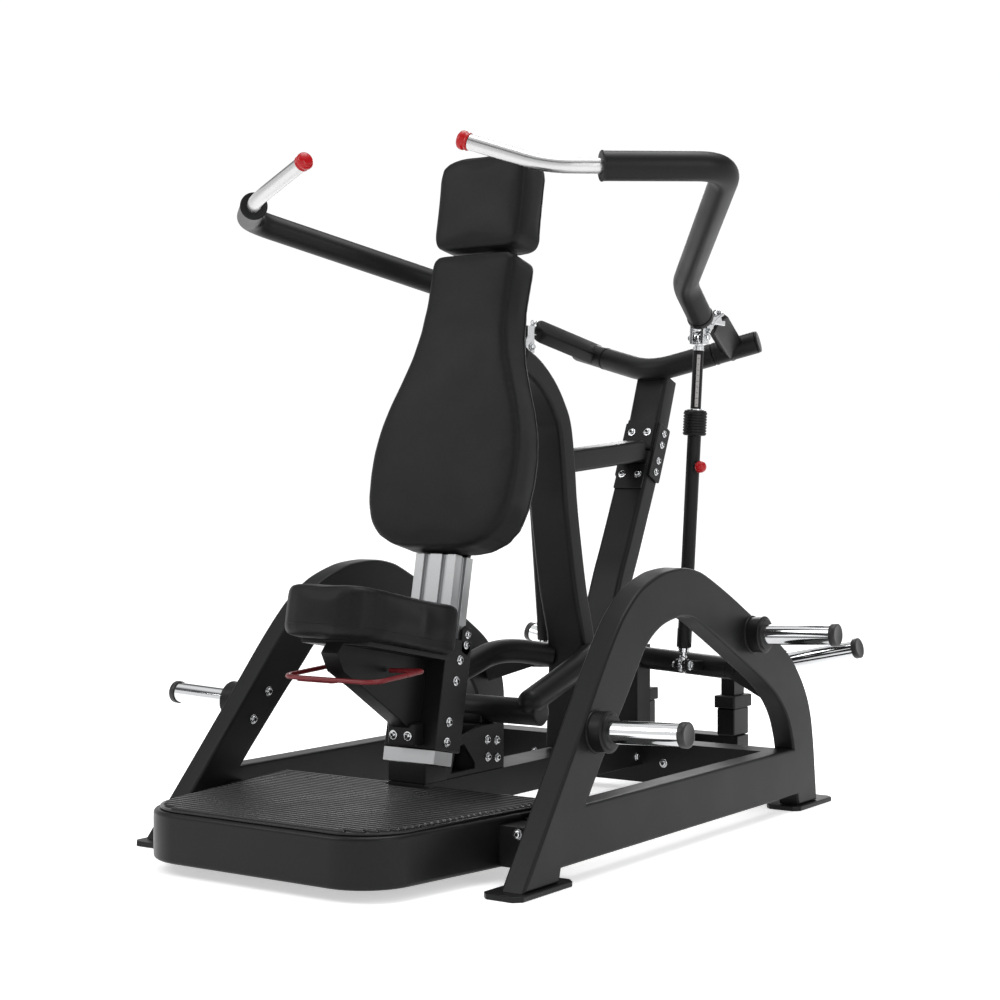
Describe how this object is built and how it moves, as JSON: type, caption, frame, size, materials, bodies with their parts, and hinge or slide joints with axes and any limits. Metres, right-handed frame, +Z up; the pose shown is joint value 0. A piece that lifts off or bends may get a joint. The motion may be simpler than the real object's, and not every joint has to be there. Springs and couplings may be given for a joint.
{
  "type": "plate-loaded lat pulldown machine",
  "caption": "Plate-loaded lat pulldown machine with arched side frames, padded seat and backrest, independent pull arms, telescopic rods, weight levers and plate storage horns.",
  "frame": {"origin": "centre of the bounding box, on the floor", "axes": "+Z up, the user faces -Y, right-hand pieces are at +X"},
  "size_m": [1.482, 1.939, 1.6509],
  "materials": {
    "frame_coat": "satin black powder coat",
    "rubber": "matt black rubber",
    "upholstery": "soft matt black upholstery",
    "column_aluminium": "satin anodised",
    "chrome": "polished",
    "handle_satin": "satin grey",
    "bright_steel": "plated",
    "red_knob": "glossy red",
    "release_red": "dark red coat",
    "black_plastic": "matt black"
  },
  "bodies": {
    "base": {"side_frame_R": "frame_coat", "side_frame_L": "frame_coat", "foot_front_R": "frame_coat", "foot_front_L": "frame_coat", "foot_rear_R": "frame_coat", "foot_rear_L": "frame_coat", "storage_horn_front_R": "chrome", "storage_horn_front_L": "chrome", "storage_horn_rear_R": "chrome", "storage_horn_rear_L": "chrome", "base_spine": "frame_coat", "platform": "black_plastic", "platform_tread": "rubber", "column": "column_aluminium", "column_shoe": "column_aluminium", "column_foot": "frame_coat", "gusset_plates": "frame_coat", "upright_front": "frame_coat", "brace_frame": "frame_coat", "upright_rear": "frame_coat", "hinge_tube": "frame_coat", "link_tube": "frame_coat", "back_pad": "upholstery", "head_pad": "upholstery", "back_bracket": "frame_coat", "bumper_post_R": "frame_coat", "bumper_post_L": "frame_coat", "bumper_cap_R": "rubber", "bumper_cap_L": "rubber", "lever_shaft": "frame_coat"},
    "arm_right": {"pull_arm_R": "frame_coat", "handle_R": "handle_satin", "handle_cap_R": "red_knob", "arm_clevis_R": "bright_steel"},
    "rod_right": {"rod_end_top_R": "bright_steel", "rod_inner_R": "frame_coat", "rod_collar_R": "black_plastic", "rod_outer_R": "frame_coat", "rod_end_low_R": "bright_steel"},
    "pin_right": {"pull_pin_R": "red_knob"},
    "lever_right": {"weight_lever_R": "frame_coat", "weight_horn_R": "chrome"},
    "arm_left": {"pull_arm_L": "frame_coat", "handle_L": "handle_satin", "handle_cap_L": "red_knob", "arm_clevis_L": "bright_steel"},
    "rod_left": {"rod_end_top_L": "bright_steel", "rod_inner_L": "frame_coat", "rod_collar_L": "black_plastic", "rod_outer_L": "frame_coat", "rod_end_low_L": "bright_steel"},
    "pin_left": {"pull_pin_L": "red_knob"},
    "lever_left": {"weight_lever_L": "frame_coat", "weight_horn_L": "chrome"},
    "seat": {"seat_carriage": "frame_coat", "seat_bracket": "frame_coat", "seat_pad": "upholstery"},
    "release": {"release_loop": "release_red"}
  },
  "joints": [
    {"name": "arm_right_hinge", "type": "hinge", "parent": "base", "child": "arm_right", "pos_m": [0, 0.7085, 1.16], "axis": [0.9273, 0.2782, 0.2504], "range_deg": [0, 16.22], "stiffness_Nm_per_rad": 140, "springref_deg": -63.03},
    {"name": "rod_right_swing", "type": "hinge", "parent": "arm_right", "child": "rod_right", "pos_m": [0.275, 0.4855, 1.229], "axis": [-0.9816, -0.1809, 0.0612], "range_deg": [0, 14.13]},
    {"name": "lever_right_hinge", "type": "hinge", "parent": "base", "child": "lever_right", "pos_m": [0.04, 0.6085, 0.365], "axis": [0.9983, 0, -0.0576], "range_deg": [0, 45.01]},
    {"name": "pin_right_pull", "type": "slide", "parent": "rod_right", "child": "pin_right", "axis": [0.8779, -0.4789, 0], "range_m": [0, 0.008], "stiffness_N_per_m": 900, "springref_m": -0.012},
    {"name": "arm_left_hinge", "type": "hinge", "parent": "base", "child": "arm_left", "pos_m": [0, 0.7085, 1.16], "axis": [0.9273, -0.2782, -0.2504], "range_deg": [0, 16.22], "stiffness_Nm_per_rad": 140, "springref_deg": -63.03},
    {"name": "rod_left_swing", "type": "hinge", "parent": "arm_left", "child": "rod_left", "pos_m": [-0.275, 0.4855, 1.229], "axis": [-0.9816, 0.1809, -0.0612], "range_deg": [0, 14.13]},
    {"name": "lever_left_hinge", "type": "hinge", "parent": "base", "child": "lever_left", "pos_m": [-0.04, 0.6085, 0.365], "axis": [0.9983, 0, 0.0576], "range_deg": [0, 45.01]},
    {"name": "pin_left_pull", "type": "slide", "parent": "rod_left", "child": "pin_left", "axis": [-0.8779, -0.4789, 0], "range_m": [0, 0.008], "stiffness_N_per_m": 900, "springref_m": -0.012},
    {"name": "seat_height", "type": "slide", "parent": "base", "child": "seat", "axis": [0, 0.1933, 0.9811], "range_m": [0, 0.08]},
    {"name": "release_press", "type": "hinge", "parent": "seat", "child": "release", "pos_m": [0, -0.5255, 0.42], "axis": [1, 0, 0], "range_deg": [0, 9], "stiffness_Nm_per_rad": 8, "springref_deg": -20.05}
  ],
  "couplings": [
    {"joint": "rod_right_swing", "follows": "arm_right_hinge", "ratio": 0.87131},
    {"joint": "lever_right_hinge", "follows": "arm_right_hinge", "ratio": 2.7749},
    {"joint": "rod_left_swing", "follows": "arm_left_hinge", "ratio": 0.87131},
    {"joint": "lever_left_hinge", "follows": "arm_left_hinge", "ratio": 2.7749}
  ]
}
